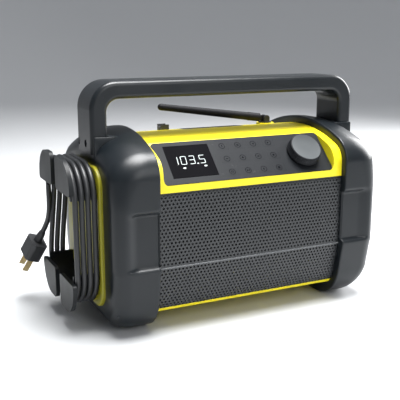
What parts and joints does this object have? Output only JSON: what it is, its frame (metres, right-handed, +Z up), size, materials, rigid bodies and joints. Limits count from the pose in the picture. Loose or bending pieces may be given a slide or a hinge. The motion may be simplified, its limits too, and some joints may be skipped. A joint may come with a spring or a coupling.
{
  "type": "jobsite radio",
  "caption": "Rugged jobsite radio with bumper end caps, yellow shell, slanted control panel, carry handle, fold-down antenna and a mains cord wound on side hooks.",
  "frame": {"origin": "centre of the underside of the radio's box, measured without the loose cord and plug, on the surface it stands on", "axes": "+X to the right for someone facing the front, +Y towards the back, +Z up"},
  "size_m": [0.355, 0.178, 0.2426],
  "materials": {
    "bumper_grey": "satin",
    "shell_yellow": "satin",
    "dark_plastic": "matt",
    "handle_grey": "satin",
    "grille_black": "satin",
    "panel_black": "satin",
    "window_clear": "gloss",
    "display_green": "matt",
    "key_grey": "matt",
    "knob_grey": "matt",
    "board_green": "satin",
    "steel": "satin",
    "iron": "matt",
    "paper_black": "matt",
    "cord_black": "satin",
    "antenna_rubber": "satin",
    "brass_pin": "satin",
    "foot_rubber": "matt",
    "cell_wrap": "gloss"
  },
  "bodies": {
    "key_1_1": {"key_1_1": "key_grey"},
    "key_1_2": {"key_1_2": "key_grey"},
    "key_1_3": {"key_1_3": "key_grey"},
    "key_1_4": {"key_1_4": "key_grey"},
    "key_2_1": {"key_2_1": "key_grey"},
    "key_2_2": {"key_2_2": "key_grey"},
    "key_2_3": {"key_2_3": "key_grey"},
    "key_2_4": {"key_2_4": "key_grey"},
    "key_3_1": {"key_3_1": "key_grey"},
    "key_3_2": {"key_3_2": "key_grey"},
    "key_3_3": {"key_3_3": "key_grey"},
    "key_3_4": {"key_3_4": "key_grey"},
    "knob": {"volume_knob": "knob_grey", "encoder_shaft": "steel"},
    "antenna_swivel": {"antenna_knuckle": "antenna_rubber", "antenna_pin": "steel"},
    "antenna": {"antenna_rod": "antenna_rubber"},
    "door": {"battery_door": "dark_plastic"},
    "flap": {"socket_flap": "foot_rubber"},
    "case": {"antenna_clip": "dark_plastic", "backup_cells": "cell_wrap", "battery_tray": "dark_plastic", "bottom_shell": "shell_yellow", "carry_handle": "handle_grey", "control_panel": "panel_black", "cord_gland": "dark_plastic", "cord_hook_bottom_front": "dark_plastic", "cord_hook_bottom_rear": "dark_plastic", "cord_hook_top_front": "dark_plastic", "cord_hook_top_rear": "dark_plastic", "cord_tail": "cord_black", "cord_winding": "cord_black", "display_module": "display_green", "display_window": "window_clear", "handle_screws": "steel", "hook_screws": "steel", "key_board": "board_green", "left_end_cap": "bumper_grey", "left_speaker_cone": "paper_black", "left_speaker_frame": "steel", "left_speaker_magnet": "iron", "main_board": "board_green", "mains_plug": "cord_black", "mains_transformer": "iron", "plug_blades": "brass_pin", "rear_shell": "dark_plastic", "rear_sockets": "dark_plastic", "right_end_cap": "bumper_grey", "right_speaker_cone": "paper_black", "right_speaker_frame": "steel", "right_speaker_magnet": "iron", "rotary_encoder": "steel", "rubber_feet": "foot_rubber", "speaker_baffle": "dark_plastic", "speaker_grille": "grille_black", "top_shell": "shell_yellow", "winder_side_plate": "shell_yellow"}
  },
  "joints": [
    {"name": "press_1_1", "type": "slide", "parent": "case", "child": "key_1_1", "axis": [0, 0.6947, -0.7193], "range_m": [0, 0.0008], "stiffness_N_per_m": 600, "springref_m": -0.0008},
    {"name": "press_1_2", "type": "slide", "parent": "case", "child": "key_1_2", "axis": [0, 0.6947, -0.7193], "range_m": [0, 0.0008], "stiffness_N_per_m": 600, "springref_m": -0.0008},
    {"name": "press_1_3", "type": "slide", "parent": "case", "child": "key_1_3", "axis": [0, 0.6947, -0.7193], "range_m": [0, 0.0008], "stiffness_N_per_m": 600, "springref_m": -0.0008},
    {"name": "press_1_4", "type": "slide", "parent": "case", "child": "key_1_4", "axis": [0, 0.6947, -0.7193], "range_m": [0, 0.0008], "stiffness_N_per_m": 600, "springref_m": -0.0008},
    {"name": "press_2_1", "type": "slide", "parent": "case", "child": "key_2_1", "axis": [0, 0.6947, -0.7193], "range_m": [0, 0.0008], "stiffness_N_per_m": 600, "springref_m": -0.0008},
    {"name": "press_2_2", "type": "slide", "parent": "case", "child": "key_2_2", "axis": [0, 0.6947, -0.7193], "range_m": [0, 0.0008], "stiffness_N_per_m": 600, "springref_m": -0.0008},
    {"name": "press_2_3", "type": "slide", "parent": "case", "child": "key_2_3", "axis": [0, 0.6947, -0.7193], "range_m": [0, 0.0008], "stiffness_N_per_m": 600, "springref_m": -0.0008},
    {"name": "press_2_4", "type": "slide", "parent": "case", "child": "key_2_4", "axis": [0, 0.6947, -0.7193], "range_m": [0, 0.0008], "stiffness_N_per_m": 600, "springref_m": -0.0008},
    {"name": "press_3_1", "type": "slide", "parent": "case", "child": "key_3_1", "axis": [0, 0.6947, -0.7193], "range_m": [0, 0.0008], "stiffness_N_per_m": 600, "springref_m": -0.0008},
    {"name": "press_3_2", "type": "slide", "parent": "case", "child": "key_3_2", "axis": [0, 0.6947, -0.7193], "range_m": [0, 0.0008], "stiffness_N_per_m": 600, "springref_m": -0.0008},
    {"name": "press_3_3", "type": "slide", "parent": "case", "child": "key_3_3", "axis": [0, 0.6947, -0.7193], "range_m": [0, 0.0008], "stiffness_N_per_m": 600, "springref_m": -0.0008},
    {"name": "press_3_4", "type": "slide", "parent": "case", "child": "key_3_4", "axis": [0, 0.6947, -0.7193], "range_m": [0, 0.0008], "stiffness_N_per_m": 600, "springref_m": -0.0008},
    {"name": "turn_volume", "type": "hinge", "parent": "case", "child": "knob", "pos_m": [0.08165, -0.06372, 0.16548], "axis": [0, -0.6947, 0.7193], "continuous": true},
    {"name": "swivel_antenna", "type": "hinge", "parent": "case", "child": "antenna_swivel", "pos_m": [0.09115, 0.029, 0.18684], "axis": [0, 0, 1], "range_deg": [-90, 60]},
    {"name": "fold_antenna", "type": "hinge", "parent": "antenna_swivel", "child": "antenna", "pos_m": [0.09115, 0.029, 0.19184], "axis": [0, 1, 0], "range_deg": [-7.9, 80]},
    {"name": "open_battery_door", "type": "hinge", "parent": "case", "child": "door", "pos_m": [0.01515, 0.0794, 0.0788], "axis": [-1, 0, 0], "range_deg": [0, 100]},
    {"name": "open_socket_flap", "type": "hinge", "parent": "case", "child": "flap", "pos_m": [0.08915, 0.0809, 0.0899], "axis": [-1, 0, 0], "range_deg": [0, 100]}
  ]
}
